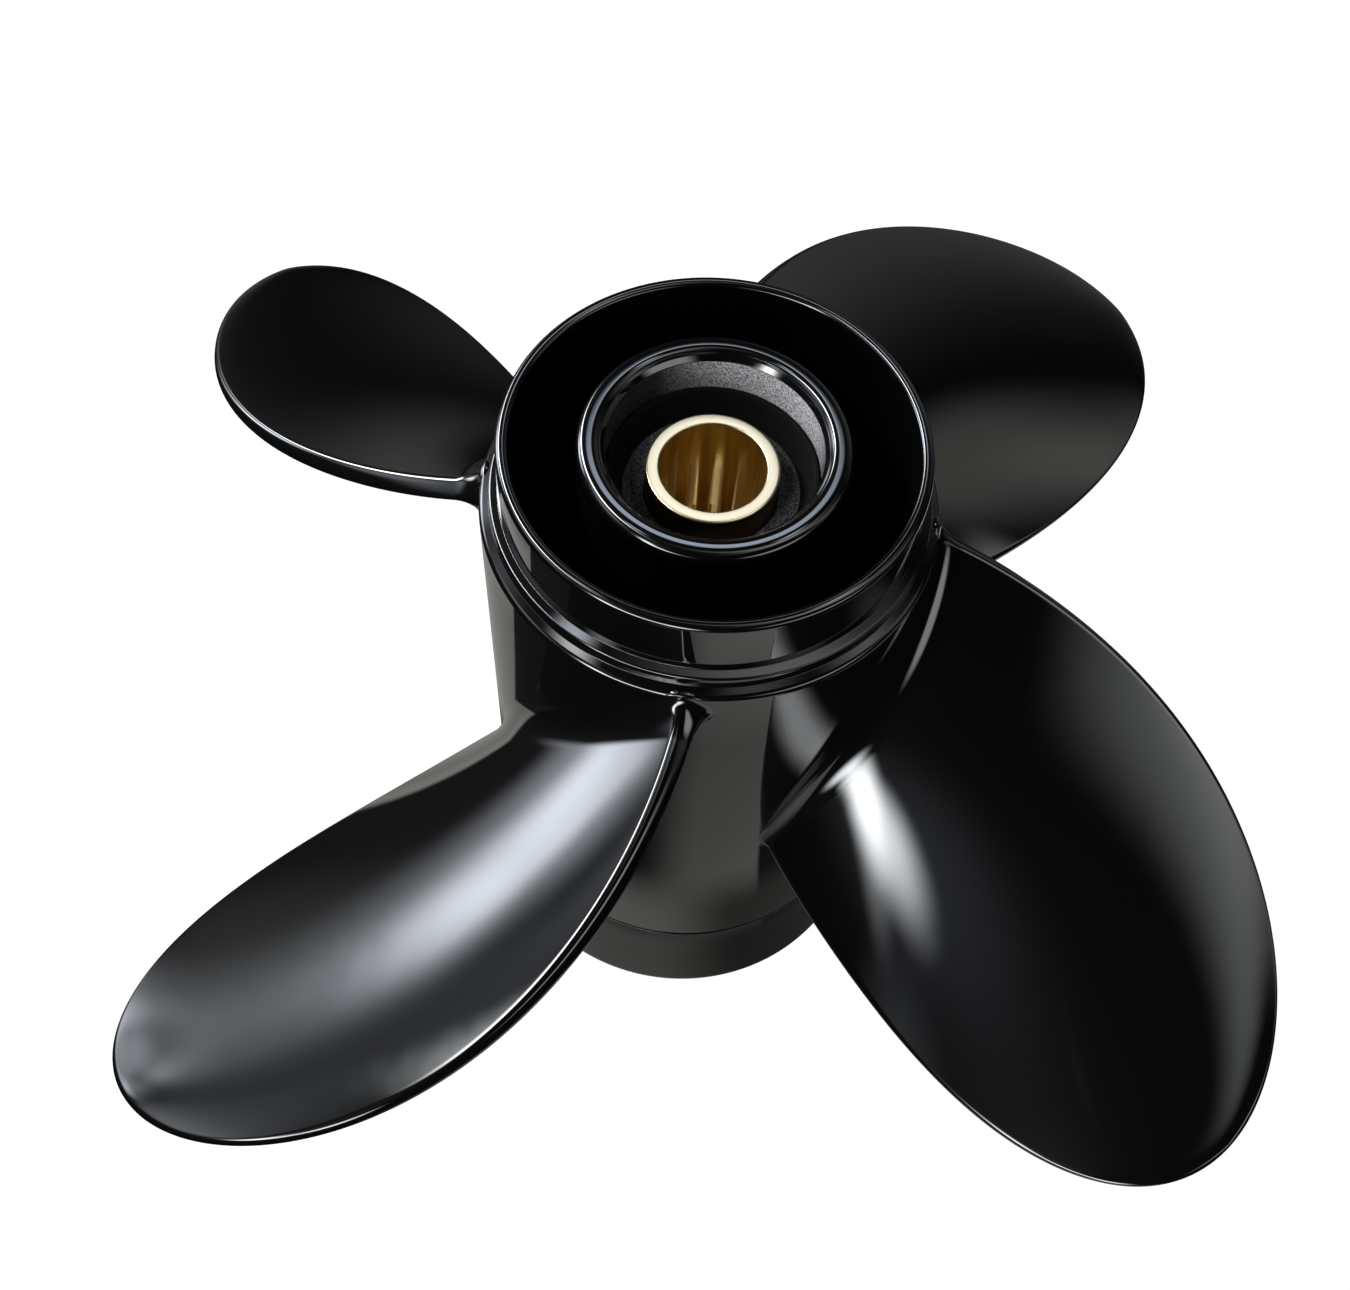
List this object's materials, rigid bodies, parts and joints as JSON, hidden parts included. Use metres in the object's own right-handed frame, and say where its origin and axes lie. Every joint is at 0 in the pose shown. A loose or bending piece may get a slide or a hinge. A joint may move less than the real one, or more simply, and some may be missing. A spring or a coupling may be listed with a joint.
{
  "type": "four-blade outboard propeller with through-hub exhaust",
  "caption": "Screw propeller with broad raked blades on a hollow hub that passes exhaust round a splined sleeve, for a small boat's outboard motor.",
  "frame": {"origin": "centre of the hub's aft end, which the propeller stands on", "axes": "+Z along the shaft's axis, from the aft end to the front collar that meets the gearcase; the four blades repeat every quarter turn about +Z"},
  "size_m": [0.2318, 0.2318, 0.1577],
  "materials": {
    "paint": "gloss black enamel on cast aluminium",
    "rubber": "matt black moulded rubber",
    "brass": "machined"
  },
  "bodies": {
    "root": {"front_collar": "paint", "shoulder_ring": "paint", "hub_barrel": "paint", "aft_ring": "paint", "blade_1": "paint", "blade_2": "paint", "blade_3": "paint", "blade_4": "paint", "inner_hub": "paint", "rib_1": "paint", "rib_2": "paint", "rib_3": "paint", "rib_4": "paint", "rubber_bush": "rubber", "brass_sleeve": "brass"}
  },
  "joints": []
}
